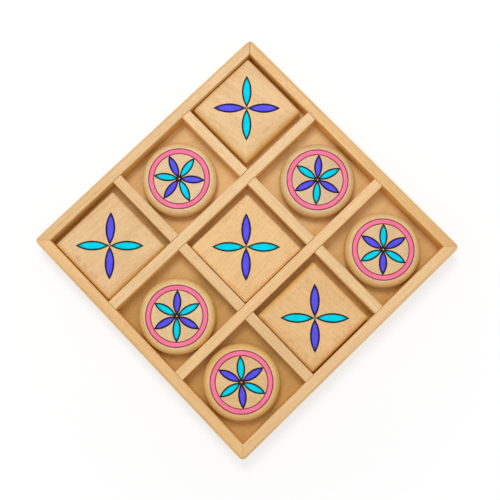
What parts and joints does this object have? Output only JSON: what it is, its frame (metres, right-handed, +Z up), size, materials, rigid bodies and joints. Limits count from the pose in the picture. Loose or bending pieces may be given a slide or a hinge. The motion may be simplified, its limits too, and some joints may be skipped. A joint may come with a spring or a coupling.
{
  "type": "tic-tac-toe board",
  "caption": "Shallow square wooden tray with crossing dividers, and loose round and square playing pieces, each with a painted petal motif, that lift out of its cells.",
  "frame": {"origin": "middle of the underside of the tray, on the surface that it stands on", "axes": "+Z up, out of the open cells; +X to the right and +Y to the back, square to the rails"},
  "size_m": [0.168, 0.168, 0.016],
  "materials": {
    "rail_wood": "thin satin lacquer over pale, straight-grained hardwood",
    "divider_wood": "thin satin lacquer over pale, straight-grained hardwood",
    "panel_wood": "satin, a little darker and more orange than the rails",
    "square_piece_wood": "satin, with burnt outlines and flat paint in the petals",
    "round_piece_wood": "satin, with burnt outlines and flat paint in the ring and petals",
    "petal_paint": "thin flat acrylic paint in cyan, violet and pink",
    "pin_steel": "plain bright steel, slightly dulled"
  },
  "bodies": {
    "tray": {"rail_front": "rail_wood", "rail_right": "rail_wood", "rail_back": "rail_wood", "rail_left": "rail_wood", "base_panel": "panel_wood", "divider_left": "divider_wood", "divider_right": "divider_wood", "divider_front": "divider_wood", "divider_back": "divider_wood", "corner_pins": "pin_steel", "base_pins": "pin_steel"},
    "square_piece_1": {"square_piece_1": "square_piece_wood"},
    "square_piece_2": {"square_piece_2": "square_piece_wood"},
    "square_piece_3": {"square_piece_3": "square_piece_wood"},
    "square_piece_4": {"square_piece_4": "square_piece_wood"},
    "round_piece_1": {"round_piece_1": "round_piece_wood"},
    "round_piece_2": {"round_piece_2": "round_piece_wood"},
    "round_piece_3": {"round_piece_3": "round_piece_wood"},
    "round_piece_4": {"round_piece_4": "round_piece_wood"},
    "round_piece_5": {"round_piece_5": "round_piece_wood"}
  },
  "joints": [
    {"name": "square_piece_1_lift", "type": "slide", "parent": "tray", "child": "square_piece_1", "axis": [0, 0, 1], "range_m": [0, 0.04]},
    {"name": "square_piece_2_lift", "type": "slide", "parent": "tray", "child": "square_piece_2", "axis": [0, 0, 1], "range_m": [0, 0.04]},
    {"name": "square_piece_3_lift", "type": "slide", "parent": "tray", "child": "square_piece_3", "axis": [0, 0, 1], "range_m": [0, 0.04]},
    {"name": "square_piece_4_lift", "type": "slide", "parent": "tray", "child": "square_piece_4", "axis": [0, 0, 1], "range_m": [0, 0.04]},
    {"name": "round_piece_1_lift", "type": "slide", "parent": "tray", "child": "round_piece_1", "axis": [0, 0, 1], "range_m": [0, 0.04]},
    {"name": "round_piece_2_lift", "type": "slide", "parent": "tray", "child": "round_piece_2", "axis": [0, 0, 1], "range_m": [0, 0.04]},
    {"name": "round_piece_3_lift", "type": "slide", "parent": "tray", "child": "round_piece_3", "axis": [0, 0, 1], "range_m": [0, 0.04]},
    {"name": "round_piece_4_lift", "type": "slide", "parent": "tray", "child": "round_piece_4", "axis": [0, 0, 1], "range_m": [0, 0.04]},
    {"name": "round_piece_5_lift", "type": "slide", "parent": "tray", "child": "round_piece_5", "axis": [0, 0, 1], "range_m": [0, 0.04]}
  ]
}
